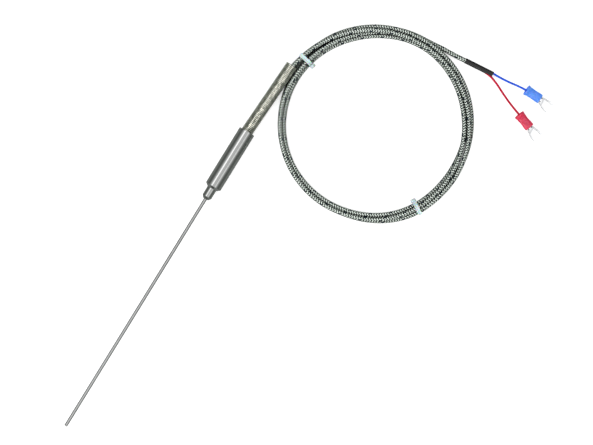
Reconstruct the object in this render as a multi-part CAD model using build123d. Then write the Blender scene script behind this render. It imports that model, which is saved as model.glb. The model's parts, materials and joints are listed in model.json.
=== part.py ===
"""Mineral-insulated thermocouple: thin probe, steel pot, guard spring, coiled braided cable, fork terminals.

Millimetres. The origin is on the probe's axis at the nose bush's front face, where the immersed length
starts. +X runs along the probe to its tip and +Z is up. The part lies on a level surface at z = -POT_R.
"""
import os
from math import atan2, cos, degrees, radians, sin, tan

from build123d import *

# Probe
SHEATH_R = 1.0
SHEATH_WALL = 0.3
PROBE_LENGTH = 160.0
TIP_CAP_LENGTH = 0.8
TIP_ROUNDING = 0.3
SHEATH_REAR_X = -16.0
WELD_LENGTH = 0.6
WELD_DEPTH = 0.18
WELD_R = 1.35
ELEMENT_R = 0.18
ELEMENT_OFFSET = 0.36
JUNCTION_X = 157.2
JUNCTION_R = 0.6
SEAL_LENGTH = 2.2

# Nose bush and pot
BUSH_R = 3.0
BUSH_FACE_R = 1.7
BUSH_CONE_LENGTH = 1.6
BUSH_FLANGE_R = 4.5
BUSH_FLANGE_X = -10.6
BUSH_REAR_X = -12.6
POT_R = 5.1
POT_WALL = 0.5
POT_FRONT_X = -7.4
POT_REAR_X = -47.5
POT_FACE_R = 3.2
POT_SHOULDER_LENGTH = 1.5
POT_SHOULDER_WALL = 0.9
FLOOR_Z = -POT_R

# Inside the pot
SPLICE_FRONT_X = -23.5
SPLICE_REAR_X = -28.5
SPLICE_R = 0.7
SPLICE_OFFSET = 1.5
SLEEVING_R = 1.0
SLEEVING_OVERHANG = 0.5
TAIL_CORE_R = 0.3
TAIL_R = 0.55
TAIL_OFFSET = 0.62
CABLE_END_X = -35.5

# Cable ferrule and guard spring
FERRULE_REAR_X = -47.2
FERRULE_SEAT_X = -44.0
FERRULE_SEAT_R = 4.05
SPRING_R = 3.85
SPRING_WIRE = 0.9
SPRING_PITCH = 1.0
SPRING_FRONT_X = -44.2
SPRING_LENGTH = 51.6
SPRING_TILT = 2.6
SPRING_RISE = 2.0

# Cable
CABLE_R = 1.5
COIL_X = -91.4
COIL_Y = 63.4
COIL_INNER_R = 52.0
COIL_OUTER_R = 60.0
COIL_TOP_Z = 0.9
COIL_ROUNDING = 2.4
SPRING_NOTCH_R = 4.0
SPRING_NOTCH_X = -96.1
CABLE_ROUTE = [
    (-35.5, 0.0, 0.0),
    (-49.5, 0.0, 0.0),
    (-65.0, 0.6, 0.3),
    (-80.0, 1.6, 0.8),
    (-96.0, 2.95, 1.1),
    (-100.5, 4.9, 0.75),
]
TAIL_ROUTE = [
    (-151.05, 66.0, -3.6),
    (-151.75, 74.0, -3.6),
    (-152.05, 82.0, -3.55),
    (-152.75, 89.5, -3.4),
    (-153.5, 97.0, -3.35),
]

# Cable ties round the coil
TIE_WIDTH = 2.4
TIE_THICKNESS = 0.6
TIE_SQUEEZE = 0.4
TIE_HEAD_DEPTH = 2.2
TIE_HEAD_WIDTH = 3.6
TIE_HEAD_HEIGHT = 3.4
UPPER_TIE_ANGLE = 258.6
UPPER_TIE_HEAD_Z = 0.1
LOWER_TIE_ANGLE = 58.3
LOWER_TIE_HEAD_Z = -3.3

# Breakout sleeve and single leads
BREAKOUT_R = 1.65
BREAKOUT_START = (-152.75, 89.3, -3.35)
BREAKOUT_HEADING = 95.0
BREAKOUT_LENGTH = 18.5
BREAKOUT_CABLE_DEPTH = 7.9
LEAD_R = 0.65
LEAD_OFFSET = 0.72
BLUE_ROUTE = [
    (-154.35, 98.0, -3.35),
    (-154.95, 105.0, -3.35),
    (-154.95, 112.0, -3.7),
    (-155.55, 119.0, -3.7),
    (-156.6, 126.0, -2.35),
    (-156.75, 133.3, -2.03),
]
RED_ROUTE = [
    (-152.9, 98.0, -3.35),
    (-153.25, 105.0, -3.35),
    (-151.15, 112.0, -3.7),
    (-148.05, 118.4, -3.7),
    (-144.15, 127.0, -2.45),
    (-140.8, 137.4, -2.07),
]

# Fork terminals
BLUE_TERMINAL = {
    "rear": (-156.85, 129.6),
    "heading": 88.3,
    "rear_r": 3.35,
    "waist_r": 2.85,
    "front_r": 3.0,
    "bend": -10.0,
}
RED_TERMINAL = {
    "rear": (-141.95, 133.65),
    "heading": 71.7,
    "rear_r": 3.3,
    "waist_r": 2.75,
    "front_r": 3.0,
    "bend": 0.0,
}
REAR_LIFT = 0.06
TERMINAL_SLEEVE_LENGTH = 10.1
RIM_LENGTH = 0.6
FLARE_LENGTH = 1.9
PRESSED_START = 3.4
PRESSED_HALF_HEIGHT = 2.2
BARREL_REAR = 4.8
BARREL_FRONT = 11.0
BARREL_R = 1.6
STRAND_R = 0.6
STRAND_FRONT = 9.0
LEAD_END = 3.8
TONGUE_START = 10.5
TONGUE_THICKNESS = 0.8
FORK_R = 3.4
SLOT_R = 2.15
SLOT_CENTRE = 15.45
FORK_TIP = 18.4
FORK_TIP_ROUNDING = 0.5
NOSE_DOWN = 0.95

parts = {}


def rod(x0, x1, radius, y=0.0):
    """A round bar along X between two stations."""
    return Pos((x0 + x1) / 2, y, 0) * Rot(0, 90, 0) * Cylinder(radius, abs(x1 - x0))


def turned(outline):
    """A solid turned about X from (x, radius) points."""
    return revolve(make_face(Polyline(*outline, close=True)), Axis.X, 360)


def largest_radii(points):
    """Corner radii as large as the two runs at each corner allow."""
    radii = []
    for a, b, c in zip(points, points[1:], points[2:]):
        before, after = Vector(*b) - Vector(*a), Vector(*c) - Vector(*b)
        half_turn = radians(before.get_angle(after)) / 2
        radii.append(0.45 * min(before.length, after.length) / tan(half_turn))
    return radii


def flexible(name, points, radius):
    """A round cord along straight runs joined by tangent arcs. Prints its radii, length and volume ratio."""
    radii = largest_radii(points)
    path = FilletPolyline(*points, radius=radii)
    section = Plane(origin=path @ 0, z_dir=path % 0) * Circle(radius)
    solid = sweep(section, path=path)
    ratio = solid.volume / (Circle(radius).area * path.length)
    print(name, "radii", [round(r, 1) for r in radii], "length", round(path.length, 1), "volume ratio", round(ratio, 4))
    return solid


def mirrored_pair(points):
    """The same route on the positive (+Y) and negative (-Y) side."""
    return {"positive": points, "negative": [(x, -y, z) for x, y, z in points]}


def make_probe():
    """Closed sheath with its cap, the two thermoelements in packed magnesia, and the weld at the bush."""
    cap_x = PROBE_LENGTH - TIP_CAP_LENGTH
    bore_r = SHEATH_R - SHEATH_WALL
    sheath = rod(SHEATH_REAR_X, cap_x, SHEATH_R) - rod(SHEATH_REAR_X, cap_x, bore_r)
    weld_band = rod(-WELD_LENGTH, 0, WELD_R) - rod(-WELD_LENGTH, 0, SHEATH_R - WELD_DEPTH)
    parts["sheath_tube"] = sheath - weld_band
    parts["bush_weld"] = weld_band

    cap = rod(cap_x, PROBE_LENGTH, SHEATH_R)
    tip_edge = cap.edges().filter_by(GeomType.CIRCLE).sort_by(Axis.X)[-1]
    parts["sheath_tip_cap"] = fillet(tip_edge, TIP_ROUNDING)

    wires = mirrored_pair([
        (JUNCTION_X, ELEMENT_OFFSET, 0),
        (SHEATH_REAR_X - SEAL_LENGTH - 0.3, ELEMENT_OFFSET, 0),
        (SPLICE_FRONT_X + 1.5, SPLICE_OFFSET, 0),
        ((SPLICE_FRONT_X + SPLICE_REAR_X) / 2, SPLICE_OFFSET, 0),
    ])
    junction = Pos(JUNCTION_X, 0, 0) * Sphere(JUNCTION_R)
    for side, route in wires.items():
        path = FilletPolyline(*route, radius=0.8)
        section = Plane(origin=path @ 0, z_dir=path % 0) * Circle(ELEMENT_R)
        parts["thermoelement_" + side] = sweep(section, path=path) - junction
    parts["hot_junction"] = junction
    inner = [parts["thermoelement_positive"], parts["thermoelement_negative"], junction]
    parts["magnesia_core"] = rod(SHEATH_REAR_X, cap_x, bore_r) - inner
    parts["sheath_end_seal"] = rod(SHEATH_REAR_X - SEAL_LENGTH, SHEATH_REAR_X, SHEATH_R) - inner[:2]


def make_bush_and_pot():
    """Nose bush welded round the sheath, with its flange held behind the pot's shoulder."""
    bush = turned([
        (0, SHEATH_R),
        (0, BUSH_FACE_R),
        (-BUSH_CONE_LENGTH, BUSH_R),
        (BUSH_FLANGE_X, BUSH_R),
        (BUSH_FLANGE_X, BUSH_FLANGE_R),
        (BUSH_REAR_X, BUSH_FLANGE_R),
        (BUSH_REAR_X, SHEATH_R),
    ])
    parts["nose_bush"] = bush - rod(-WELD_LENGTH, 0, WELD_R)
    bore_r = POT_R - POT_WALL
    shoulder_x = POT_FRONT_X - POT_SHOULDER_LENGTH
    parts["pot_sleeve"] = turned([
        (POT_FRONT_X, BUSH_R),
        (POT_FRONT_X, POT_FACE_R),
        (shoulder_x, POT_R),
        (POT_REAR_X, POT_R),
        (POT_REAR_X, bore_r),
        (shoulder_x - POT_SHOULDER_WALL, bore_r),
        (POT_FRONT_X - POT_SHOULDER_WALL, BUSH_R),
    ])


def make_pot_contents():
    """Splices, their sleeving, the cable's two stripped tails, and the potting that holds them."""
    middle_x = (SPLICE_FRONT_X + SPLICE_REAR_X) / 2
    sleeving_rear_x = SPLICE_REAR_X - SLEEVING_OVERHANG
    tails = mirrored_pair([
        (middle_x, SPLICE_OFFSET, 0),
        (SPLICE_REAR_X - 2.0, SPLICE_OFFSET, 0),
        (CABLE_END_X + 2.0, TAIL_OFFSET, 0),
        (CABLE_END_X, TAIL_OFFSET, 0),
    ])
    held = [parts[n] for n in ("thermoelement_positive", "thermoelement_negative", "sheath_end_seal")]
    held.append(rod(SHEATH_REAR_X, BUSH_REAR_X, SHEATH_R))
    for side, route in tails.items():
        y = SPLICE_OFFSET if side == "positive" else -SPLICE_OFFSET
        path = FilletPolyline(*route, radius=1.2)
        start = Plane(origin=path @ 0, z_dir=path % 0)
        core = sweep(start * Circle(TAIL_CORE_R), path=path)
        jacket = sweep(start * Circle(TAIL_R), path=path) - rod(middle_x, sleeving_rear_x, 2 * TAIL_R, y)
        splice = rod(SPLICE_FRONT_X, SPLICE_REAR_X, SPLICE_R, y) - core - parts["thermoelement_" + side]
        sleeving = rod(SPLICE_FRONT_X + SLEEVING_OVERHANG, sleeving_rear_x, SLEEVING_R, y)
        sleeving -= rod(SPLICE_FRONT_X + SLEEVING_OVERHANG, sleeving_rear_x, SPLICE_R, y)
        parts["tail_core_" + side] = core
        parts["tail_insulation_" + side] = jacket - core
        parts["splice_" + side] = splice
        parts["splice_sleeving_" + side] = sleeving
        held += [jacket + core, splice, rod(SPLICE_FRONT_X + SLEEVING_OVERHANG, sleeving_rear_x, SLEEVING_R, y)]
    potting = rod(BUSH_REAR_X, CABLE_END_X, POT_R - POT_WALL)
    for piece in held:
        potting -= piece
    parts["potting_compound"] = potting


def make_cable_exit():
    """Ferrule crimped in the pot's mouth, and the close-wound guard spring seated in it."""
    ferrule = rod(CABLE_END_X, FERRULE_REAR_X, POT_R - POT_WALL) - rod(CABLE_END_X, FERRULE_REAR_X, CABLE_R)
    parts["cable_ferrule"] = ferrule - rod(FERRULE_SEAT_X, FERRULE_REAR_X, FERRULE_SEAT_R)
    coil_r = SPRING_R - SPRING_WIRE / 2
    winding = Helix(pitch=SPRING_PITCH, height=SPRING_LENGTH - SPRING_WIRE, radius=coil_r)
    section = Plane(origin=winding @ 0, z_dir=winding % 0) * Circle(SPRING_WIRE / 2)
    wire = sweep(section, path=winding, is_frenet=True)
    seat_depth = SPRING_FRONT_X - POT_REAR_X
    along = Rot(0, -90, 0) * Pos(0, 0, SPRING_WIRE / 2 - seat_depth)
    parts["guard_spring"] = spring_place() * along * wire


def spring_place():
    """The spring leans towards the coil and rises on to it, about the pot's mouth."""
    return Pos(POT_REAR_X, 0, 0) * Rot(0, 0, -SPRING_TILT) * Rot(0, SPRING_RISE, 0)


def coil_plane(angle):
    """The plane across the coil's winding at an angle: local X is outward, local Y is up."""
    a = radians(angle)
    return Plane(origin=(COIL_X, COIL_Y, 0), x_dir=(cos(a), sin(a), 0), z_dir=(sin(a), -cos(a), 0))


def rounded_section(inner_r, outer_r, bottom_z, top_z, rounding):
    """A rounded outline in the plane across the winding."""
    centre = Pos((outer_r + inner_r) / 2, (top_z + bottom_z) / 2)
    return centre * RectangleRounded(outer_r - inner_r, top_z - bottom_z, rounding)


def tie_section(grow):
    """The bundle where a tie squeezes it, grown by the strap's thickness for the strap's outside."""
    inner_r = COIL_INNER_R + TIE_SQUEEZE - grow
    outer_r = COIL_OUTER_R - TIE_SQUEEZE + grow
    bottom_z = FLOOR_Z + TIE_THICKNESS - grow
    top_z = COIL_TOP_Z - TIE_SQUEEZE + grow
    return rounded_section(inner_r, outer_r, bottom_z, top_z, COIL_ROUNDING - 0.4 + grow)


def make_ties():
    """Two nylon ties: a strap round the bundle and a ratchet head on its inner side."""
    ties = {"upper": (UPPER_TIE_ANGLE, UPPER_TIE_HEAD_Z), "lower": (LOWER_TIE_ANGLE, LOWER_TIE_HEAD_Z)}
    head_r = COIL_INNER_R + TIE_SQUEEZE - TIE_THICKNESS - TIE_HEAD_DEPTH / 2
    for name, (angle, head_z) in ties.items():
        loop = tie_section(TIE_THICKNESS) - tie_section(0)
        parts["coil_tie_" + name] = extrude(coil_plane(angle) * loop, TIE_WIDTH / 2, both=True)
        block = Box(TIE_HEAD_DEPTH, TIE_HEAD_HEIGHT, TIE_HEAD_WIDTH)
        block = Pos(head_r, head_z, 0) * fillet(block.edges().filter_by(Axis.Z), 0.5)
        parts["coil_tie_head_" + name] = coil_plane(angle).location * block


def make_cable():
    """The cable from the ferrule into the coil, the coil's outer shape, and the tail to the breakout."""
    lead = flexible("cable_lead", CABLE_ROUTE, CABLE_R)
    tail = flexible("cable_tail", TAIL_ROUTE, CABLE_R)
    section = rounded_section(COIL_INNER_R, COIL_OUTER_R, FLOOR_Z, COIL_TOP_Z, COIL_ROUNDING)
    ring = revolve(coil_plane(0) * section, Axis((COIL_X, COIL_Y, 0), (0, 0, 1)), 360)
    notch_length = POT_REAR_X - SPRING_NOTCH_X
    notch = spring_place() * Pos(-notch_length / 2, 0, 0) * Rot(0, 90, 0) * Cylinder(SPRING_NOTCH_R, notch_length)
    ring = ring - notch - lead - tail
    middle_r = (COIL_INNER_R + COIL_OUTER_R) / 2
    for angle in (UPPER_TIE_ANGLE, LOWER_TIE_ANGLE):
        across = coil_plane(angle)
        slab = across.location * Pos(middle_r, 0, 0) * Box(4 * POT_R, 4 * POT_R, TIE_WIDTH)
        ring = ring - slab + extrude(across * tie_section(0), TIE_WIDTH / 2, both=True)
    parts["cable_lead"] = lead
    parts["cable_coil"] = ring
    parts["cable_tail"] = tail


def make_breakout():
    """Heat-shrunk sleeve over the cable's end and the roots of the two leads."""
    place = Pos(*BREAKOUT_START) * Rot(0, 0, BREAKOUT_HEADING)
    sleeve = place * rod(0, BREAKOUT_LENGTH, BREAKOUT_R)
    parts["lead_blue"] = flexible("lead_blue", BLUE_ROUTE, LEAD_R)
    parts["lead_red"] = flexible("lead_red", RED_ROUTE, LEAD_R)
    parts["breakout_sleeve"] = sleeve - parts["cable_tail"] - parts["lead_blue"] - parts["lead_red"]


def make_terminal(colour, terminal):
    """Insulated fork: a tin-plated barrel and tongue, the crimped strands, and the flared sleeve."""
    rear_r, front_r = terminal["rear_r"], terminal["front_r"]
    pitch = degrees(atan2(NOSE_DOWN * (rear_r - BARREL_R), FORK_TIP))
    rear = Pos(*terminal["rear"], FLOOR_Z + rear_r + REAR_LIFT)
    place = rear * Rot(0, 0, terminal["heading"]) * Rot(0, pitch, 0)

    outline = [
        (0, rear_r),
        (RIM_LENGTH, rear_r),
        (FLARE_LENGTH, front_r),
        (TERMINAL_SLEEVE_LENGTH / 2, terminal["waist_r"]),
        (TERMINAL_SLEEVE_LENGTH - 1.5, front_r),
        (TERMINAL_SLEEVE_LENGTH, front_r),
        (TERMINAL_SLEEVE_LENGTH, BARREL_R),
        (BARREL_REAR, BARREL_R),
        (BARREL_REAR - 0.6, LEAD_R + 0.35),
        (FLARE_LENGTH, LEAD_R + 0.35),
        (0, rear_r - 0.6),
    ]
    # crimping presses the sleeve flatter above and below the barrel
    side = make_face(Polyline(
        (0, -rear_r),
        (0, rear_r),
        (RIM_LENGTH, rear_r),
        (PRESSED_START, PRESSED_HALF_HEIGHT),
        (TERMINAL_SLEEVE_LENGTH, PRESSED_HALF_HEIGHT),
        (TERMINAL_SLEEVE_LENGTH, -PRESSED_HALF_HEIGHT),
        (PRESSED_START, -PRESSED_HALF_HEIGHT),
        (RIM_LENGTH, -rear_r),
        close=True,
    ))
    pressed = extrude(Plane.XZ * side, rear_r, both=True)
    parts["fork_sleeve_" + colour] = place * (turned(outline) & pressed)

    strands = place * rod(LEAD_END, STRAND_FRONT, STRAND_R) - parts["lead_" + colour]
    barrel = rod(BARREL_REAR, BARREL_FRONT, BARREL_R) - rod(BARREL_REAR, STRAND_FRONT, STRAND_R)
    neck = make_face(Polyline(
        (TONGUE_START, -1.5),
        (TONGUE_START + 0.8, -2.3),
        (SLOT_CENTRE - 2.0, -FORK_R + 0.6),
        (SLOT_CENTRE - 2.0, FORK_R - 0.6),
        (TONGUE_START + 0.8, 2.3),
        (TONGUE_START, 1.5),
        close=True,
    ))
    straight = FORK_TIP - SLOT_CENTRE
    blade = neck + Pos(SLOT_CENTRE, 0) * Circle(FORK_R)
    blade += Pos(SLOT_CENTRE + straight / 2, 0) * Rectangle(straight, 2 * FORK_R)
    blade -= Pos(SLOT_CENTRE, 0) * Circle(SLOT_R)
    blade -= Pos(SLOT_CENTRE + straight, 0) * Rectangle(2 * straight, 2 * SLOT_R)
    corners = blade.vertices().filter_by(lambda v: v.X > FORK_TIP - 0.01)
    blade = fillet(corners, FORK_TIP_ROUNDING)
    tongue = Pos(0, 0, -BARREL_R) * extrude(blade, TONGUE_THICKNESS)
    bend = Pos(TONGUE_START, 0, 0) * Rot(0, 0, terminal["bend"]) * Pos(-TONGUE_START, 0, 0)
    parts["fork_" + colour] = place * (barrel + bend * tongue)
    parts["lead_strands_" + colour] = strands
    slot = place * bend * Pos(SLOT_CENTRE, 0, -BARREL_R + TONGUE_THICKNESS / 2)
    up = Plane(slot).z_dir
    print("slot", colour, [round(v, 3) for v in slot.position], [round(v, 5) for v in up])


make_probe()
make_bush_and_pot()
make_pot_contents()
make_cable_exit()
make_ties()
make_cable()
make_breakout()
make_terminal("blue", BLUE_TERMINAL)
make_terminal("red", RED_TERMINAL)

os.makedirs("parts", exist_ok=True)
for node, solid in parts.items():
    export_step(solid, "parts/" + node + ".step")
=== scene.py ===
"""Thermocouple: camera, braided cable coil, guard spring, ties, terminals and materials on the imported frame.

Lengths are written in millimetres through MM and used in metres. +X is the probe's axis, +Z is up.
"""

import json
import math

import bmesh
import bpy
import numpy as np
from mathutils import Matrix, Vector


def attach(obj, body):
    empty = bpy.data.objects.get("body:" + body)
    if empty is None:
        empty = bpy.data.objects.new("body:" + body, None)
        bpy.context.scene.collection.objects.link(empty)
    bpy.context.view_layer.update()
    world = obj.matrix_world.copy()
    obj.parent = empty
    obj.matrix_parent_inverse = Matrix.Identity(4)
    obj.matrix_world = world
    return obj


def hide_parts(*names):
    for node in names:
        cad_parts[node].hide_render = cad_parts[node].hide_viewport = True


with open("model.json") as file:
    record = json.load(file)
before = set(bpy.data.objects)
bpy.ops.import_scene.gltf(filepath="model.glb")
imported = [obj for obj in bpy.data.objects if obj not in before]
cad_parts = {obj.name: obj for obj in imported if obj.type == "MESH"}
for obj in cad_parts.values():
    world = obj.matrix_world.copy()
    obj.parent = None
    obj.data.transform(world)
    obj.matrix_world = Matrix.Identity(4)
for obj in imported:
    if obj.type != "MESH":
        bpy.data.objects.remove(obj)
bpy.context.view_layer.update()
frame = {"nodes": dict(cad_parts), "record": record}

MM = 0.001
FLOOR = -5.1
BODY = "root"
TINY = 1e-6

# Camera: straight above, turned so that the probe points down and to the left
VIEW_CENTRE = (-16.6, 53.9)
VIEW_WIDTH = 355.8
VIEW_RIGHT = Vector((-0.5246, 0.8513, 0))
LENS = 150.0
SENSOR = 36.0

# Cable: the same route points as the part's own, and the coil's lanes
CABLE_DIAMETER = 3.0
POT_REAR = (-47.5, 0.0, 0.0)
CABLE_ROUTE = [
    (-35.5, 0.0, 0.0),
    (-49.5, 0.0, 0.0),
    (-65.0, 0.6, 0.3),
    (-80.0, 1.6, 0.8),
]
TAIL_ROUTE = [
    (-151.75, 74.0, -3.6),
    (-152.05, 82.0, -3.55),
    (-152.75, 89.5, -3.4),
    (-153.5, 97.0, -3.35),
]
COIL_CENTRE = (-91.4, 63.4)
COIL_START = 266.66
COIL_STEP = 15.0
COIL_SWEEP = 1530.0
# Degrees travelled round the coil, radius, height of the cable's centre above the floor
LANES = [
    (0, 60.6, 6.1), (8, 59.4, 5.6), (23, 57.9, 4.8), (45, 57.3, 4.5), (90, 55.6, 4.3), (135, 55.5, 4.5),
    (180, 57.8, 4.4), (225, 59.2, 1.8), (270, 57.3, 1.5), (315, 57.1, 1.5), (360, 57.3, 1.5),
    (383, 58.6, 1.6), (405, 59.4, 2.6), (450, 58.2, 4.2), (495, 58.5, 1.8), (540, 57.8, 1.5),
    (585, 56.3, 1.5), (630, 54.6, 1.5), (675, 54.4, 1.5), (720, 53.9, 1.5), (743, 53.0, 1.5),
    (765, 52.7, 1.5), (810, 54.0, 1.5), (855, 53.2, 2.8), (900, 54.2, 3.2), (945, 57.4, 4.3),
    (990, 57.3, 4.5), (1035, 57.1, 4.5), (1080, 56.2, 4.5), (1103, 55.2, 4.6), (1125, 55.2, 1.8),
    (1170, 56.7, 1.5), (1215, 55.0, 1.5), (1260, 51.8, 1.5), (1305, 54.3, 3.7), (1350, 54.5, 4.5),
    (1395, 54.3, 4.5), (1440, 53.9, 4.5), (1463, 56.0, 2.4), (1485, 57.8, 1.5), (1515, 58.2, 1.5),
    (1530, 59.2, 1.5),
]
# Bearing round the coil, smallest and largest radius that a turn's centre has there. The numbers were
# measured on the photograph by a scratch program, then rounded and turned into millimetres.
COIL_BAND = [
    (-9.0, 54.7, 57.2), (11.6, 54.3, 56.7), (51.6, 54.3, 58.8), (71.6, 52.5, 57.6), (101.6, 51.3, 57.3),
    (121.6, 51.9, 57.9), (141.6, 53.7, 58.5), (181.6, 54.9, 58.5), (211.6, 53.4, 58.8), (231.6, 53.1, 59.1),
    (261.6, 54.3, 59.7), (291.6, 54.9, 57.3), (321.6, 55.2, 57.3), (351.0, 54.7, 57.2), (371.6, 54.3, 56.7),
]
UPPER_TIE_ANGLE = 258.6
LOWER_TIE_ANGLE = 58.3
# The turns rise over a tie's strap by this much, over this many degrees each side
TIE_LIFT = 0.6
TIE_LIFT_SPREAD = 14.0
# How the turns settle: steps, shares moved in each, and how far the two ends may leave the band
SETTLING_STEPS = 400
SMOOTHING = 0.3
PULL_TO_LANE = 0.08
END_SLACK = 3.0
END_SLACK_FADE = 12.0
# Where the coil passes the spring's end: bearing and half width in degrees, the spring axis's radius and
# height there, and how far a turn's centre stays from it
SPRING_BEARING = 269.0
SPRING_SPREAD = 5.0
SPRING_AXIS = (61.3, 6.7)
SPRING_CLEARANCE = 5.5

# Ties
STRAP_DIRECTIONS = 72
STRAP_STATIONS = 96
STRAP_GAP = 0.02
STRAP_RIB = 0.05
STRAP_HALF_WIDTH = 1.2
STRAP_THICKNESS = 0.72
TIE_HEAD_SIZE = (2.3, 3.4, 3.3)
TIE_WINDOW_SIZE = (1.3, 2.5, 0.5)
TIE_STUB_SIZE = (0.7, 2.2, 1.2)
TIE_HEAD_INSET = 1.35

# Braid
BRAID_LAY = 12.4
CARRIERS_EACH_WAY = 8
STEPS_PER_LAY = 36
CORE_R = 1.1
BED_SIDES = 10
CARRIER_R = 1.32
CARRIER_WAVE = 0.15
CARRIER_WIDTH = 0.74
CARRIER_ACROSS = ((-1.0, -0.2), (-0.45, 0.0), (0.45, 0.0), (1.0, -0.2))
TRACER_CARRIER = 0
TRACER_SPREAD = 1.45
# Painted shade: the base colour is darkened by a carrier's height in the weave and by how open the surface is
CARRIER_SHADE = [(0.4, (0.01, 0.014, 0.01)), (0.85, (1, 1, 1))]
# Painted shade from ambient occlusion: how far it reaches in millimetres, and how dark it makes the base
# colour
SHADE_REACH = 3.0
OCCLUSION_SHADE = [(0.3, (0.03, 0.035, 0.03)), (0.8, (1, 1, 1))]

# Breakout and leads
BREAKOUT_START = (-152.75, 89.3, -3.35)
BREAKOUT_HEADING = 95.0
LEAD_DIAMETER = 1.3
BLUE_ROUTE = [
    (-154.35, 98.0, -3.35),
    (-154.95, 105.0, -3.35),
    (-154.95, 112.0, -3.7),
    (-155.55, 119.0, -3.7),
    (-156.6, 126.0, -2.35),
    (-156.75, 133.3, -2.03),
]
RED_ROUTE = [
    (-152.9, 98.0, -3.35),
    (-153.25, 105.0, -3.35),
    (-151.15, 112.0, -3.7),
    (-148.05, 118.4, -3.7),
    (-144.15, 127.0, -2.45),
    (-140.8, 137.4, -2.07),
]

# Guard spring
SPRING_MEAN_R = 3.4
SPRING_WIRE_R = 0.45
SPRING_PITCH = 1.0
SPRING_FRONT = 3.3
SPRING_LENGTH = 51.6
SPRING_TILT = 2.6
SPRING_RISE = 2.0
SPRING_STEPS_PER_TURN = 28

# Terminals
TERMINALS = {
    "blue": {"rear": (-156.85, 129.6), "heading": 88.3, "rear_r": 3.35, "waist_r": 2.85, "front_r": 3.0},
    "red": {"rear": (-141.95, 133.65), "heading": 71.7, "rear_r": 3.3, "waist_r": 2.75, "front_r": 3.0},
}
REAR_LIFT = 0.06
PRESSED_HALF_HEIGHT = 2.2
FORK_EDGE_ROUNDING = 0.3
FORK_EDGE_ANGLE = math.radians(40)
BARREL_R = 1.6
FORK_TIP = 18.4
NOSE_DOWN = 0.95

# Floor: half its side in metres, how far under the part it lies in millimetres, and its own light
FLOOR_HALF_SIZE = 3.0
FLOOR_GAP = 0.02
FLOOR_GLOW = 0.55

# Light: the dome's colour from straight down (0) to straight up (1), and three softboxes in metres
DOME_STRENGTH = 1.25
DOME = [
    (0.0, (0.20, 0.21, 0.20)),
    (0.12, (0.26, 0.27, 0.26)),
    (0.32, (0.30, 0.32, 0.30)),
    (0.5, (0.17, 0.185, 0.17)),
    (0.655, (0.15, 0.16, 0.15)),
    (0.78, (0.24, 0.25, 0.24)),
    (0.875, (0.66, 0.67, 0.66)),
    (1.0, (0.85, 0.85, 0.85)),
]
SOFTBOXES = [
    ("softbox_foot", (1.3, 0.1, 0.8), (2.4, 0.5), 2.6),
    ("softbox_left", (0.0, -0.55, 1.35), (3.4, 0.42), 1.6),
    ("softbox_right", (0.0, 0.75, 1.3), (3.4, 0.3), 0.7),
]


def metres(points):
    return [tuple(c * MM for c in p) for p in points]


# ---------------------------------------------------------------- mesh helpers

def add_mesh(name, verts, faces, materials, indices=None, uvs=None):
    """A mesh object that rides on the part, with optional material indices and one UV per vertex."""
    mesh = bpy.data.meshes.new(name)
    mesh.from_pydata([tuple(v) for v in verts], [], [tuple(f) for f in faces])
    for material in materials:
        mesh.materials.append(material)
    if indices is not None:
        mesh.polygons.foreach_set("material_index", indices)
    mesh.polygons.foreach_set("use_smooth", [True] * len(mesh.polygons))
    if uvs is not None:
        layer = mesh.uv_layers.new(name="along_around")
        corner_verts = np.empty(len(mesh.loops), dtype=np.int32)
        mesh.loops.foreach_get("vertex_index", corner_verts)
        layer.data.foreach_set("uv", np.asarray(uvs, dtype=np.float32)[corner_verts].ravel())
    mesh.update()
    piece = bpy.data.objects.new(name, mesh)
    bpy.context.scene.collection.objects.link(piece)
    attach(piece, BODY)
    return piece


def spline_points(name, control, resolution=12):
    """The points of a smooth NURBS line through a route, read back from Blender's own spline."""
    curve = bpy.data.curves.new(name + "_line", "CURVE")
    curve.dimensions = "3D"
    curve.resolution_u = resolution
    spline = curve.splines.new("NURBS")
    spline.points.add(len(control) - 1)
    for point, place in zip(spline.points, control):
        point.co = (*place, 1)
    spline.order_u = 3
    spline.use_endpoint_u = True
    line = bpy.data.objects.new(name + "_line", curve)
    bpy.context.scene.collection.objects.link(line)
    bpy.context.view_layer.update()
    mesh = bpy.data.meshes.new_from_object(line)
    points = np.array([v.co for v in mesh.vertices])
    bpy.data.objects.remove(line)
    return points


def evenly(points, spacing):
    """The same line with evenly spaced points, and the distance along it."""
    step = np.linalg.norm(np.diff(points, axis=0), axis=1)
    along = np.concatenate([[0], np.cumsum(step)])
    count = max(2, int(round(along[-1] / spacing)) + 1)
    distance = np.linspace(0, along[-1], count)
    return np.stack([np.interp(distance, along, points[:, i]) for i in range(3)], axis=1), distance


def transport(points):
    """A twist-free pair of normals along a line."""
    tangent = np.gradient(points, axis=0)
    tangent /= np.linalg.norm(tangent, axis=1)[:, None]
    side = np.cross(tangent[0], [0, 0, 1.0])
    first = [side / np.linalg.norm(side)]
    for t in tangent[1:]:
        n = first[-1] - t * np.dot(first[-1], t)
        first.append(n / np.linalg.norm(n))
    first = np.array(first)
    return tangent, first, np.cross(tangent, first)


def grid_faces(rows, columns, closed, offset=0):
    """Quads of a grid of vertices, with the columns joined into a ring if closed."""
    r = np.arange(rows - 1)[:, None]
    c = np.arange(columns if closed else columns - 1)[None, :]
    after = (c + 1) % columns
    near, far = r * columns, (r + 1) * columns
    quads = np.stack([near + c, near + after, far + after, far + c], axis=-1)
    return quads.reshape(-1, 4) + offset


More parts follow.
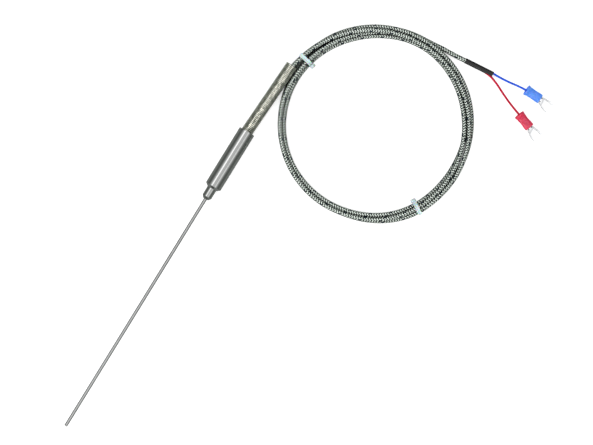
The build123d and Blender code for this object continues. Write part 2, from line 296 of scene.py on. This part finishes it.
def tube(name, points, radius, around, materials):
    """A round tube with closed ends along a line. Its UV is metres along and turns around."""
    line, distance = points
    _, n1, n2 = transport(line)
    angle = np.linspace(0, 2 * math.pi, around, endpoint=False)
    r = np.broadcast_to(np.asarray(radius, dtype=float), (len(line),))[:, None, None]
    cosine, sine = np.cos(angle)[None, :, None], np.sin(angle)[None, :, None]
    verts = (line[:, None, :] + r * (cosine * n1[:, None, :] + sine * n2[:, None, :])).reshape(-1, 3)
    faces = [tuple(f) for f in grid_faces(len(line), around, True)]
    faces.append(tuple(reversed(range(around))))
    faces.append(tuple(range(len(verts) - around, len(verts))))
    turns = (angle / (2 * math.pi))[None, :]
    uv = np.stack(np.broadcast_arrays(distance[:, None], turns), axis=-1).reshape(-1, 2)
    return add_mesh(name, verts, faces, materials, uvs=uv)


def lathe(name, outline, around, materials, place, shape=None):
    """A closed outline of (x, radius) turned about local X, reshaped by a function, and put in place."""
    angle = np.linspace(0, 2 * math.pi, around, endpoint=False)
    x = np.array([p[0] for p in outline])[:, None]
    r = np.array([p[1] for p in outline])[:, None]
    px, py, pz = np.broadcast_arrays(x, r * np.cos(angle), r * np.sin(angle))
    local = np.stack([px, py, pz], axis=-1).reshape(-1, 3)
    if shape is not None:
        local = shape(local)
    verts = [place @ Vector(v * MM) for v in local]
    rows = len(outline)
    faces = [tuple(f) for f in grid_faces(rows, around, True)]
    last, first = (rows - 1) * around, 0
    for c in range(around):
        after = (c + 1) % around
        faces.append((last + c, last + after, first + after, first + c))
    return add_mesh(name, verts, faces, materials)


# ---------------------------------------------------------------- material helpers

def shader(name, **sockets):
    """A new node material. Constant values go on the shader's own sockets."""
    material = bpy.data.materials.new(name)
    material.use_nodes = True
    bsdf = material.node_tree.nodes["Principled BSDF"]
    for key, value in sockets.items():
        bsdf.inputs[key.replace("_", " ")].default_value = value
    return material, material.node_tree, bsdf


def coordinates(tree, scale=(1, 1, 1), output="Object"):
    source = tree.nodes.new("ShaderNodeTexCoord")
    mapping = tree.nodes.new("ShaderNodeMapping")
    mapping.inputs["Scale"].default_value = scale
    tree.links.new(source.outputs[output], mapping.inputs["Vector"])
    return mapping.outputs["Vector"]


def noise(tree, vector, scale, detail=3.0):
    node = tree.nodes.new("ShaderNodeTexNoise")
    node.inputs["Scale"].default_value = scale
    node.inputs["Detail"].default_value = detail
    tree.links.new(vector, node.inputs["Vector"])
    return node.outputs["Fac"]


def wave(tree, vector, scale, distortion=0.0, direction="X"):
    node = tree.nodes.new("ShaderNodeTexWave")
    node.bands_direction = direction
    node.inputs["Scale"].default_value = scale
    node.inputs["Distortion"].default_value = distortion
    tree.links.new(vector, node.inputs["Vector"])
    return node.outputs["Fac"]


def ramp(tree, fac, stops):
    node = tree.nodes.new("ShaderNodeValToRGB")
    while len(node.color_ramp.elements) < len(stops):
        node.color_ramp.elements.new(0.5)
    for element, (position, colour) in zip(node.color_ramp.elements, stops):
        element.position = position
        element.color = (*colour, 1)
    tree.links.new(fac, node.inputs["Fac"])
    return node.outputs["Color"]


def spread(tree, fac, low, high):
    node = tree.nodes.new("ShaderNodeMapRange")
    node.inputs["To Min"].default_value = low
    node.inputs["To Max"].default_value = high
    tree.links.new(fac, node.inputs["Value"])
    return node.outputs["Result"]


def bump(tree, bsdf, height, distance, strength=1.0):
    node = tree.nodes.new("ShaderNodeBump")
    node.inputs["Distance"].default_value = distance
    node.inputs["Strength"].default_value = strength
    tree.links.new(height, node.inputs["Height"])
    tree.links.new(node.outputs["Normal"], bsdf.inputs["Normal"])


def steel(name, dark, light, rough_low, rough_high, stretch, scale, depth):
    """Metal with fine machining or drawing lines: stretch sets which way they run."""
    material, tree, bsdf = shader(name, Metallic=1.0)
    lines = noise(tree, coordinates(tree, stretch), scale, 6.0)
    cloud = noise(tree, coordinates(tree), 90.0, 3.0)
    tree.links.new(ramp(tree, lines, [(0.3, dark), (0.7, light)]), bsdf.inputs["Base Color"])
    tree.links.new(spread(tree, cloud, rough_low, rough_high), bsdf.inputs["Roughness"])
    bump(tree, bsdf, lines, depth)
    return material


def plastic(name, dark, light, roughness, grain, depth, **sockets):
    """Moulded or extruded plastic with slight colour variation and a fine grain."""
    material, tree, bsdf = shader(name, Roughness=roughness, **sockets)
    cloud = noise(tree, coordinates(tree), 220.0, 4.0)
    fine = noise(tree, coordinates(tree), grain, 3.0)
    tree.links.new(ramp(tree, cloud, [(0.35, dark), (0.65, light)]), bsdf.inputs["Base Color"])
    bump(tree, bsdf, fine, depth)
    return material


# ---------------------------------------------------------------- materials

SHEATH = steel("sheath_drawn_steel", (0.30, 0.30, 0.30), (0.48, 0.48, 0.48), 0.26, 0.38,
               (3, 900, 900), 1.0, 0.00002)
POT = steel("pot_polished_steel", (0.36, 0.365, 0.36), (0.44, 0.445, 0.44), 0.10, 0.17,
            (2600, 25, 25), 1.0, 0.000004)
WELD = steel("weld_bead", (0.30, 0.27, 0.22), (0.55, 0.52, 0.47), 0.3, 0.5, (1, 1, 1), 2500.0, 0.00005)
SPRING = steel("spring_wire", (0.34, 0.35, 0.30), (1.0, 0.99, 0.9), 0.17, 0.27, (1, 1, 1), 720.0, 0.0001)
FERRULE = steel("ferrule_steel", (0.42, 0.42, 0.42), (0.6, 0.6, 0.6), 0.25, 0.4, (1500, 40, 40), 1.0, 0.00001)
TIN = steel("tin_plate", (0.55, 0.555, 0.57), (0.70, 0.705, 0.72), 0.1, 0.2, (1, 1, 1), 900.0, 0.00001)
ALLOY = steel("alloy_wire", (0.45, 0.43, 0.40), (0.62, 0.60, 0.57), 0.3, 0.45, (5, 900, 900), 1.0, 0.00001)


def make_braid(name, dark, light, metallic, roughness):
    """Flat carriers of five fine wires: the UV's second axis runs across the carrier."""
    material, tree, bsdf = shader(name, Metallic=metallic, Roughness=roughness)
    wires = wave(tree, coordinates(tree, (0, 5, 0), "UV"), 0.5, 0.0, "Y")
    cloud = noise(tree, coordinates(tree), 700.0, 3.0)
    height = tree.nodes.new("ShaderNodeAttribute")
    height.attribute_name = "float_height"
    shade = tree.nodes.new("ShaderNodeMix")
    shade.data_type = "RGBA"
    shade.blend_type = "MULTIPLY"
    shade.inputs["Factor"].default_value = 1.0
    tree.links.new(ramp(tree, cloud, [(0.3, dark), (0.7, light)]), shade.inputs[6])
    # painted shade: carriers that lie low in the weave, and the edges of each carrier, are darkened
    tree.links.new(ramp(tree, height.outputs["Fac"], CARRIER_SHADE), shade.inputs[7])
    # painted shade, from ambient occlusion, where turns lie against each other and deep between the carriers
    hollow = tree.nodes.new("ShaderNodeAmbientOcclusion")
    hollow.samples = 8
    hollow.inputs["Distance"].default_value = SHADE_REACH * MM
    occlusion_shade = tree.nodes.new("ShaderNodeMix")
    occlusion_shade.data_type = "RGBA"
    occlusion_shade.blend_type = "MULTIPLY"
    occlusion_shade.inputs["Factor"].default_value = 1.0
    tree.links.new(shade.outputs[2], occlusion_shade.inputs[6])
    tree.links.new(ramp(tree, hollow.outputs["AO"], OCCLUSION_SHADE), occlusion_shade.inputs[7])
    tree.links.new(occlusion_shade.outputs[2], bsdf.inputs["Base Color"])
    bump(tree, bsdf, wires, 0.00002, 0.8)
    return material


BRAID = make_braid("braid_wire", (0.78, 0.89, 0.80), (0.95, 1.0, 0.96), 1.0, 0.18)
TRACER = make_braid("tracer_thread", (0.002, 0.012, 0.025), (0.006, 0.035, 0.055), 0.0, 0.6)
# near-black bed under the carriers: painted shade in the gaps between them
BRAID_SHADOW_BED = plastic("braid_shadow_bed", (0.012, 0.014, 0.012), (0.03, 0.034, 0.03), 0.7, 2500.0, 0.00003)
SHRINK = plastic("heat_shrink", (0.001, 0.001, 0.0012), (0.002, 0.002, 0.0023), 0.12, 1200.0, 0.000003)
BLUE_WIRE = plastic("blue_wire", (0.010, 0.085, 0.66), (0.02, 0.12, 0.78), 0.5, 1800.0, 0.00001,
                    Specular_IOR_Level=0.25)
RED_WIRE = plastic("red_wire", (0.50, 0.0, 0.026), (0.58, 0.001, 0.038), 0.5, 1800.0, 0.00001,
                   Specular_IOR_Level=0.2)
BLUE_VINYL = plastic("blue_vinyl", (0.08, 0.27, 0.93), (0.13, 0.33, 1.0), 0.22, 900.0, 0.00002,
                     Subsurface_Weight=0.25, Subsurface_Scale=0.002)
RED_VINYL = plastic("red_vinyl", (0.66, 0.03, 0.085), (0.78, 0.05, 0.12), 0.22, 900.0, 0.00002,
                    Subsurface_Weight=0.25, Subsurface_Scale=0.002)
NYLON = plastic("tie_nylon", (0.86, 0.95, 0.93), (0.94, 0.99, 0.975), 0.35, 700.0, 0.00002,
                Subsurface_Weight=0.5, Subsurface_Scale=0.003, Transmission_Weight=0.1)
EPOXY = plastic("potting_epoxy", (0.03, 0.025, 0.02), (0.06, 0.045, 0.035), 0.35, 600.0, 0.00003)
MAGNESIA = plastic("magnesia", (0.78, 0.77, 0.73), (0.88, 0.87, 0.84), 0.9, 3000.0, 0.00005)
GLASS_FIBRE = plastic("glass_fibre", (0.62, 0.6, 0.52), (0.78, 0.76, 0.7), 0.7, 3000.0, 0.00005)
COPPER = steel("splice_copper", (0.55, 0.3, 0.18), (0.72, 0.45, 0.3), 0.3, 0.45, (1, 1, 1), 900.0, 0.00001)

BY_SLOT = {
    "sheath_steel": SHEATH, "pot_steel": POT, "weld": WELD, "magnesia": MAGNESIA,
    "thermoelement_alloy_positive": ALLOY, "thermoelement_alloy_negative": ALLOY, "sealing_epoxy": EPOXY,
    "splice_copper": COPPER, "glass_fibre_sleeving": GLASS_FIBRE, "spring_steel": SPRING,
    "cable_braid": BRAID, "tie_nylon": NYLON, "heat_shrink": SHRINK,
    "blue_insulation": BLUE_WIRE, "red_insulation": RED_WIRE,
    "blue_vinyl": BLUE_VINYL, "red_vinyl": RED_VINYL, "tinned_copper": TIN,
}


def dress_cad_nodes():
    """Every carried-over CAD node gets the node material of its slot."""
    for part in frame["record"]["subparts"]:
        piece = frame["nodes"][part["node"]]
        material = FERRULE if part["node"] == "cable_ferrule" else BY_SLOT[part["material_slot"]]
        for slot in piece.material_slots:
            slot.material = material


# ---------------------------------------------------------------- camera

def make_camera():
    data = bpy.data.cameras.new("camera")
    data.lens = LENS
    data.sensor_width = SENSOR
    camera = bpy.data.objects.new("camera", data)
    bpy.context.scene.collection.objects.link(camera)
    right = VIEW_RIGHT.normalized()
    back = Vector((0, 0, 1))
    up = back.cross(right)
    place = Matrix((right, up, back)).transposed().to_4x4()
    distance = VIEW_WIDTH * LENS / SENSOR
    place.translation = Vector((*VIEW_CENTRE, distance)) * MM
    camera.matrix_world = place
    bpy.context.scene.camera = camera


# ---------------------------------------------------------------- cable

def bearing_gap(a, b):
    return abs((a - b + 180) % 360 - 180)


def coil_points():
    """Turns of the coil, one control point each COIL_STEP, pushed apart and held in the coil's band.

    Neighbouring turns still overlap at the end, by up to about 0.8 mm.
    """
    swept = np.arange(0, COIL_SWEEP + 0.1, COIL_STEP)
    lanes = np.array(LANES, dtype=float)
    place = np.stack([np.interp(swept, lanes[:, 0], lanes[:, i]) for i in (1, 2)], axis=1)
    goal = place.copy()
    per_turn = int(round(360 / COIL_STEP))
    rest = CABLE_DIAMETER / 2
    bearings = COIL_START - swept
    nearest = np.minimum(bearing_gap(bearings, UPPER_TIE_ANGLE), bearing_gap(bearings, LOWER_TIE_ANGLE))
    ground = rest + TIE_LIFT * np.exp(-((nearest / TIE_LIFT_SPREAD) ** 2))
    band = np.array(COIL_BAND)
    inner, outer = (np.interp(bearings % 360, band[:, 0], band[:, i]) for i in (1, 2))
    # the first and last few points leave the band on their way in and out
    slack = np.clip(END_SLACK - np.minimum(swept, COIL_SWEEP - swept) / END_SLACK_FADE, 0, None)
    beside_spring = (bearing_gap(bearings, SPRING_BEARING) < SPRING_SPREAD) & (swept > COIL_STEP)
    for _ in range(SETTLING_STEPS):
        middle = (place[:-2] + place[2:]) / 2
        place[1:-1] += SMOOTHING * (middle - place[1:-1]) + PULL_TO_LANE * (goal[1:-1] - place[1:-1])
        for turns in range(1, 5):
            gap = turns * per_turn
            if gap >= len(place):
                break
            apart = place[gap:] - place[:-gap]
            distance = np.linalg.norm(apart, axis=1)
            overlap = np.clip(CABLE_DIAMETER - distance, 0, None)[:, None]
            push = overlap * apart / np.maximum(distance, TINY)[:, None] / 2
            place[gap:] += push
            place[:-gap] -= push
        place[:, 0] = np.clip(place[:, 0], inner - slack, outer + slack)
        away = place[beside_spring] - SPRING_AXIS
        reach = np.linalg.norm(away, axis=1)
        place[beside_spring] += away / reach[:, None] * np.clip(SPRING_CLEARANCE - reach, 0, None)[:, None]
        place[:, 1] = np.maximum(place[:, 1], ground)
        place[0], place[-1] = goal[0], goal[-1]
    spline_shortfall = 0.75 + 0.25 * math.cos(math.radians(COIL_STEP))
    points = []
    for bearing, (radius, height) in zip(np.radians(bearings), place):
        reach = radius / spline_shortfall
        points.append((
            COIL_CENTRE[0] + reach * math.cos(bearing),
            COIL_CENTRE[1] + reach * math.sin(bearing),
            FLOOR + height,
        ))
    return points


def make_cable():
    """One mesh: a near-black bed, painted shade seen in the gaps, and sixteen flat braid carriers that pass
    over and under each other.
    """
    route = CABLE_ROUTE + coil_points() + TAIL_ROUTE
    centre = spline_points("cable", metres(route))
    line, distance = evenly(centre, BRAID_LAY * MM / STEPS_PER_LAY)
    _, n1, n2 = transport(line)
    verts, faces, indices, uvs, heights = [], [], [], [], []

    around = BED_SIDES
    angle = np.linspace(0, 2 * math.pi, around, endpoint=False)
    ring = line[:, None, :] + CORE_R * MM * (
        np.cos(angle)[None, :, None] * n1[:, None, :] + np.sin(angle)[None, :, None] * n2[:, None, :])
    verts.append(ring.reshape(-1, 3))
    bed = grid_faces(len(line), around, True)
    faces += [tuple(f) for f in bed]
    faces += [tuple(reversed(range(around))), tuple(range(len(verts[0]) - around, len(verts[0])))]
    indices += [1] * len(faces)
    uvs.append(np.zeros((len(verts[0]), 2)))
    heights.append(np.zeros(len(verts[0])))
    count = len(verts[0])

    turn = 2 * math.pi * distance / (BRAID_LAY * MM)
    lean = math.atan2(2 * math.pi * CARRIER_R, BRAID_LAY)
    half_angle = CARRIER_WIDTH / math.cos(lean) / CARRIER_R / 2
    across, crown = np.array(CARRIER_ACROSS).T
    for way in (1, -1):
        for carrier in range(CARRIERS_EACH_WAY):
            theta = 2 * math.pi * carrier / CARRIERS_EACH_WAY + way * turn
            # over two carriers and under two, so chevrons run along the cable
            lift = way * CARRIER_WAVE * np.cos(4 * theta)
            tracer = way == -1 and carrier == TRACER_CARRIER
            a = theta[:, None] + across[None, :] * half_angle * (TRACER_SPREAD if tracer else 1.0)
            r = (CARRIER_R + lift[:, None] + crown[None, :]) * MM
            strip = line[:, None, :] + r[..., None] * (
                np.cos(a)[..., None] * n1[:, None, :] + np.sin(a)[..., None] * n2[:, None, :])
            verts.append(strip.reshape(-1, 3))
            quads = grid_faces(len(line), len(across), False, count)
            faces += [tuple(f) for f in quads]
            indices += [2 if tracer else 0] * len(quads)
            uv = np.stack(np.broadcast_arrays(distance[:, None], across[None, :] / 2 + 0.5), axis=-1)
            uvs.append(uv.reshape(-1, 2))
            level = (lift[:, None] + crown[None, :]) / (2 * CARRIER_WAVE) + 0.5
            heights.append(np.clip(level, 0, 1).ravel())
            count += strip.shape[0] * len(across)
    materials = [BRAID, BRAID_SHADOW_BED, TRACER]
    cable = add_mesh("cable_braided", np.concatenate(verts), faces, materials, indices, np.concatenate(uvs))
    layer = cable.data.attributes.new("float_height", "FLOAT", "POINT")
    layer.data.foreach_set("value", np.concatenate(heights).astype(np.float32))
    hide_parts("cable_lead", "cable_coil", "cable_tail")
    length = float(distance[-1])
    return cable, centre, length


def strands_at(centre, bearing):
    """Radius and height of each turn where the cable crosses the plane at a bearing, in millimetres."""
    a = math.radians(bearing)
    local = centre / MM - np.array([*COIL_CENTRE, 0])
    out = local[:, 0] * math.cos(a) + local[:, 1] * math.sin(a)
    side = -local[:, 0] * math.sin(a) + local[:, 1] * math.cos(a)
    found = []
    for i in range(len(side) - 1):
        if side[i] * side[i + 1] <= 0 and out[i] > 0:
            t = side[i] / (side[i] - side[i + 1] + 1e-12)
            height = local[i, 2] + t * (local[i + 1, 2] - local[i, 2])
            found.append((out[i] + t * (out[i + 1] - out[i]), height))
    return np.array(found)


# ---------------------------------------------------------------- ties

def make_tie(name, bearing, centre, node):
    """A ribbed strap drawn round the turns."""
    strands = strands_at(centre, bearing)
    angle = np.linspace(0, 2 * math.pi, STRAP_DIRECTIONS, endpoint=False)
    normal = np.stack([np.cos(angle), np.sin(angle)], axis=1)
    support = strands[np.argmax(strands @ normal.T, axis=0)]
    inner = support + normal * (CABLE_DIAMETER / 2 + STRAP_GAP)
    # evenly spaced points round the loop, so that the strap's ribs are even
    closed = np.vstack([inner, inner[:1]])
    step = np.linalg.norm(np.diff(closed, axis=0), axis=1)
    along = np.concatenate([[0], np.cumsum(step)])
    count = STRAP_STATIONS
    t = np.linspace(0, along[-1], count, endpoint=False)
    loop = np.stack([np.interp(t, along, closed[:, i]) for i in range(2)], axis=1)
    tangent = np.roll(loop, -1, axis=0) - np.roll(loop, 1, axis=0)
    outward = np.stack([tangent[:, 1], -tangent[:, 0]], axis=1)
    outward /= np.linalg.norm(outward, axis=1)[:, None]
    rib = STRAP_RIB * (np.arange(count) % 2)
    half, thick = STRAP_HALF_WIDTH, STRAP_THICKNESS
    # a rounded strip: (across, outward) in millimetres
    section = [(-half, 0.08), (-half, thick - 0.18), (-half + 0.18, thick), (-0.55, thick),
               (-0.5, thick - 0.08),
               (0.5, thick - 0.08), (0.55, thick), (half - 0.18, thick), (half, thick - 0.18), (half, 0.08),
               (half - 0.12, 0.0), (-half + 0.12, 0.0)]
    a = math.radians(bearing)
    out = np.array([math.cos(a), math.sin(a), 0])
    side = np.array([-math.sin(a), math.cos(a), 0])
    origin = np.array([*COIL_CENTRE, 0])
    verts = []
    for k in range(count):
        for across, lift in section:
            level = lift - (rib[k] if 0.5 >= abs(across) and lift > 0.3 else 0)
            place = loop[k] + outward[k] * level
            height = max(place[1], FLOOR + 0.02)
            verts.append((origin + out * place[0] + side * across + np.array([0, 0, height])) * MM)
    rows, columns = count, len(section)
    faces = [tuple(f) for f in grid_faces(rows, columns, True)]
    last = (rows - 1) * columns
    faces += [(last + c, last + (c + 1) % columns, (c + 1) % columns, c) for c in range(columns)]
    strap = add_mesh(name + "_strap", verts, faces, [NYLON])
    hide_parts(node)
    return strap, strands, (origin, out, side)


def make_tie_head(name, strands, axes, head_height, node):
    """A rounded block with a raised window and the strap's cut stub standing out of it."""
    origin, out, side = axes
    inner_r = strands[:, 0].min() - CABLE_DIAMETER / 2
    piece = bmesh.new()
    body = bmesh.ops.create_cube(piece, size=1.0)["verts"]
    bmesh.ops.scale(piece, vec=TIE_HEAD_SIZE, verts=body)
    bmesh.ops.bevel(piece, geom=list(piece.edges), offset=0.35, segments=3, affect="EDGES")
    window = bmesh.ops.create_cube(piece, size=1.0)["verts"]
    bmesh.ops.scale(piece, vec=TIE_WINDOW_SIZE, verts=window)
    bmesh.ops.translate(piece, vec=(0.1, 0, 1.75), verts=window)
    stub = bmesh.ops.create_cube(piece, size=1.0)["verts"]
    bmesh.ops.scale(piece, vec=TIE_STUB_SIZE, verts=stub)
    bmesh.ops.translate(piece, vec=(0.25, 0, 2.2), verts=stub)
    mesh = bpy.data.meshes.new(name)
    piece.to_mesh(mesh)
    piece.free()
    mesh.materials.append(NYLON)
    place = Matrix((Vector(out), Vector(side), Vector((0, 0, 1)))).transposed().to_4x4()
    where = origin + out * (inner_r - TIE_HEAD_INSET) + np.array([0, 0, head_height])
    place.translation = Vector(where) * MM
    mesh.transform(place @ Matrix.Scale(MM, 4))
    mesh.polygons.foreach_set("use_smooth", [True] * len(mesh.polygons))
    head = bpy.data.objects.new(name, mesh)
    bpy.context.scene.collection.objects.link(head)
    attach(head, BODY)
    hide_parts(node)
    return head


# ---------------------------------------------------------------- breakout and leads

def make_breakout():
    """Heat-shrunk sleeve: round over the cable, drawn to an oval over the two leads, with rolled lips."""
    heading = math.radians(BREAKOUT_HEADING)
    place = Matrix.Translation(Vector(BREAKOUT_START) * MM) @ Matrix.Rotation(heading, 4, "Z")
    stations = [(0.0, 1.57), (0.15, 1.63), (0.6, 1.62), (3.0, 1.61), (6.5, 1.61), (8.6, 1.60), (9.6, 1.55),
                (11.0, 1.53), (15.0, 1.53), (17.6, 1.55), (18.2, 1.58), (18.5, 1.53), (18.5, 1.42),
                (16.5, 1.38),
                (9.4, 1.38), (8.8, 1.51), (0.0, 1.51)]

    def shape(local):
        x, y, z = local.T
        leads = 1 / (1 + np.exp(-(x - 9.2) * 2.5))
        ripple = 0.012 * np.sin(x * 3.1) + 0.01 * np.sin(x * 7.7 + 1.0)
        y = y * (1 + 0.05 * leads + ripple)
        z = z * (1 - 0.2 * leads + ripple)
        return np.stack([x, y, z], axis=1)

    sleeve = lathe("breakout_heat_shrink", stations, 40, [SHRINK], place, shape)
    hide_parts("breakout_sleeve")
    return sleeve


def make_lead(colour, route, material, fork):
    centre = spline_points("lead_" + colour, metres(route))
    line = evenly(centre, 0.35 * MM)
    lead = tube("lead_insulation_" + colour, line, LEAD_DIAMETER / 2 * MM, 20, [material])
    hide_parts("lead_" + colour)
    return lead


# ---------------------------------------------------------------- terminals

def make_terminal_sleeve(colour, terminal, material):
    """Flared vinyl sleeve, waisted and pressed flatter by the two crimps, with softened rims."""
    rear_r, waist_r, front_r = terminal["rear_r"], terminal["waist_r"], terminal["front_r"]
    pitch = math.atan2(NOSE_DOWN * (rear_r - BARREL_R), FORK_TIP)
    heading = math.radians(terminal["heading"])
    rear = Vector((*terminal["rear"], FLOOR + rear_r + REAR_LIFT)) * MM
    place = Matrix.Translation(rear) @ Matrix.Rotation(heading, 4, "Z") @ Matrix.Rotation(pitch, 4, "Y")
    side_r = (waist_r + front_r) / 2
    outline = [
        (0.12, rear_r - 0.55), (0.0, rear_r - 0.42), (0.0, rear_r - 0.12), (0.1, rear_r - 0.02),
        (0.35, rear_r),
        (0.62, rear_r - 0.04), (1.0, rear_r - 0.14), (1.5, front_r + 0.06), (1.85, front_r - 0.06),
        (2.1, front_r - 0.16), (2.35, front_r - 0.06), (2.8, front_r - 0.03), (3.4, side_r + 0.03),
        (4.0, waist_r + 0.04),
        (4.8, waist_r), (5.6, waist_r), (6.2, waist_r + 0.04), (6.8, side_r), (7.6, front_r - 0.06),
        (8.2, front_r - 0.02), (8.9, front_r), (9.7, front_r), (9.95, front_r - 0.02),
        (10.07, front_r - 0.09),
        (10.1, front_r - 0.22), (10.0, BARREL_R + 0.12), (9.6, BARREL_R + 0.05), (4.9, BARREL_R + 0.05),
        (4.2, 1.05), (2.0, 1.05),
    ]

    def shape(local):
        x, y, z = local.T
        skin = np.clip((np.hypot(y, z) - BARREL_R - 0.2) / 0.4, 0, 1)
        ease = np.clip((x - 0.6) / 2.8, 0, 1)
        pressed = (1 - PRESSED_HALF_HEIGHT / front_r) * ease * ease * (3 - 2 * ease)
        rear_crimp = np.exp(-(((x - 3.6) / 0.95) ** 4))
        front_crimp = np.exp(-(((x - 7.0) / 1.15) ** 4))
        flat = (pressed + 0.04 * rear_crimp + 0.06 * front_crimp) * skin
        dimple = 0.2 * np.exp(-(((x - 7.0) / 0.8) ** 2 + (y / 0.9) ** 2)) * (z > 0) * skin
        return np.stack([x, y, z * (1 - flat) - dimple], axis=1)

    sleeve = lathe("terminal_sleeve_" + colour, outline, 48, [material], place, shape)
    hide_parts("fork_sleeve_" + colour)
    return sleeve


def make_fork(colour):
    """The fork's own shape with its stamped edges rounded over."""
    node = "fork_" + colour
    source = frame["nodes"][node]
    piece = bmesh.new()
    piece.from_mesh(source.data)
    piece.transform(source.matrix_world)
    bmesh.ops.remove_doubles(piece, verts=piece.verts, dist=0.002 * MM)
    bmesh.ops.dissolve_limit(piece, angle_limit=math.radians(1.0), verts=piece.verts, edges=piece.edges)
    corners = [e for e in piece.edges if len(e.link_faces) == 2 and e.calc_face_angle() > FORK_EDGE_ANGLE]
    bmesh.ops.bevel(piece, geom=corners, offset=FORK_EDGE_ROUNDING * MM, segments=3, profile=0.5,
                    affect="EDGES", clamp_overlap=True)
    mesh = bpy.data.meshes.new(node + "_stamped")
    piece.to_mesh(mesh)
    piece.free()
    mesh.materials.clear()
    mesh.materials.append(TIN)
    mesh.polygons.foreach_set("material_index", [0] * len(mesh.polygons))
    mesh.polygons.foreach_set("use_smooth", [True] * len(mesh.polygons))
    fork = bpy.data.objects.new(node + "_stamped", mesh)
    bpy.context.scene.collection.objects.link(fork)
    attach(fork, BODY)
    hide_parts(node)
    return fork


# ---------------------------------------------------------------- guard spring

def make_spring():
    """Close-wound wire, leaning and rising towards the coil as the cable does."""
    turns = (SPRING_LENGTH - 2 * SPRING_WIRE_R) / SPRING_PITCH
    t = np.linspace(0, turns, int(turns * SPRING_STEPS_PER_TURN) + 1)
    x = SPRING_FRONT - SPRING_WIRE_R - t * SPRING_PITCH
    y, z = SPRING_MEAN_R * np.cos(2 * math.pi * t), SPRING_MEAN_R * np.sin(2 * math.pi * t)
    local = np.stack([x, y, z], axis=1)
    place = (Matrix.Translation(Vector(POT_REAR) * MM)
             @ Matrix.Rotation(math.radians(-SPRING_TILT), 4, "Z")
             @ Matrix.Rotation(math.radians(SPRING_RISE), 4, "Y"))
    line = np.array([place @ Vector(p * MM) for p in local])
    step = np.linalg.norm(np.diff(line, axis=0), axis=1)
    distance = np.concatenate([[0], np.cumsum(step)])
    wire = tube("guard_spring_wire", (line, distance), SPRING_WIRE_R * MM, 10, [SPRING])
    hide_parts("guard_spring")
    return wire


# ---------------------------------------------------------------- stage and light

def make_stage():
    """A pale floor. Glossy rays pass it by, so that steel keeps dark edges against it."""
    material, _, bsdf = shader("pale_floor", Roughness=0.9, Specular_IOR_Level=0.1,
                               Emission_Strength=FLOOR_GLOW)
    bsdf.inputs["Base Color"].default_value = (0.9, 0.9, 0.9, 1)
    bsdf.inputs["Emission Color"].default_value = (1, 1, 1, 1)
    mesh = bpy.data.meshes.new("floor")
    size, z = FLOOR_HALF_SIZE, (FLOOR - FLOOR_GAP) * MM
    corners = [(-size, -size, z), (size, -size, z), (size, size, z), (-size, size, z)]
    mesh.from_pydata(corners, [], [(0, 1, 2, 3)])
    mesh.materials.append(material)
    floor = bpy.data.objects.new("floor", mesh)
    floor.visible_glossy = False
    bpy.context.scene.collection.objects.link(floor)


def area_light(name, place, size, radiance):
    data = bpy.data.lights.new(name, "AREA")
    data.shape = "RECTANGLE"
    data.size, data.size_y = size
    data.energy = radiance * math.pi * size[0] * size[1]
    light = bpy.data.objects.new(name, data)
    light.location = place
    light.rotation_mode = "QUATERNION"
    light.rotation_quaternion = (-Vector(place)).to_track_quat("-Z", "Y")
    bpy.context.scene.collection.objects.link(light)


def make_light():
    """A soft overhead dome, dim near the horizon, and three long softboxes around the part."""
    world = bpy.data.worlds.new("studio")
    world.use_nodes = True
    tree = world.node_tree
    direction = tree.nodes.new("ShaderNodeTexCoord")
    split = tree.nodes.new("ShaderNodeSeparateXYZ")
    tree.links.new(direction.outputs["Generated"], split.inputs["Vector"])
    height = tree.nodes.new("ShaderNodeMapRange")
    height.inputs["From Min"].default_value = -1.0
    tree.links.new(split.outputs["Z"], height.inputs["Value"])
    tree.links.new(ramp(tree, height.outputs["Result"], DOME), tree.nodes["Background"].inputs["Color"])
    tree.nodes["Background"].inputs["Strength"].default_value = DOME_STRENGTH
    bpy.context.scene.world = world
    for name, place, size, radiance in SOFTBOXES:
        area_light(name, place, size, radiance)
    bpy.context.scene.view_settings.view_transform = "Standard"


make_camera()
cable, cable_line, cable_length = make_cable()
breakout = make_breakout()
ties = []
for side, bearing, height in (("upper", UPPER_TIE_ANGLE, 0.0), ("lower", LOWER_TIE_ANGLE, -3.0)):
    strap, strands, axes = make_tie("cable_tie_" + side, bearing, cable_line, "coil_tie_" + side)
    head = make_tie_head("cable_tie_head_" + side, strands, axes, height, "coil_tie_head_" + side)
    ties += [strap, head]
sleeves = {
    "blue": make_terminal_sleeve("blue", TERMINALS["blue"], BLUE_VINYL),
    "red": make_terminal_sleeve("red", TERMINALS["red"], RED_VINYL),
}
make_lead("blue", BLUE_ROUTE, BLUE_WIRE, make_fork("blue"))
make_lead("red", RED_ROUTE, RED_WIRE, make_fork("red"))
make_spring()
dress_cad_nodes()
make_stage()
make_light()
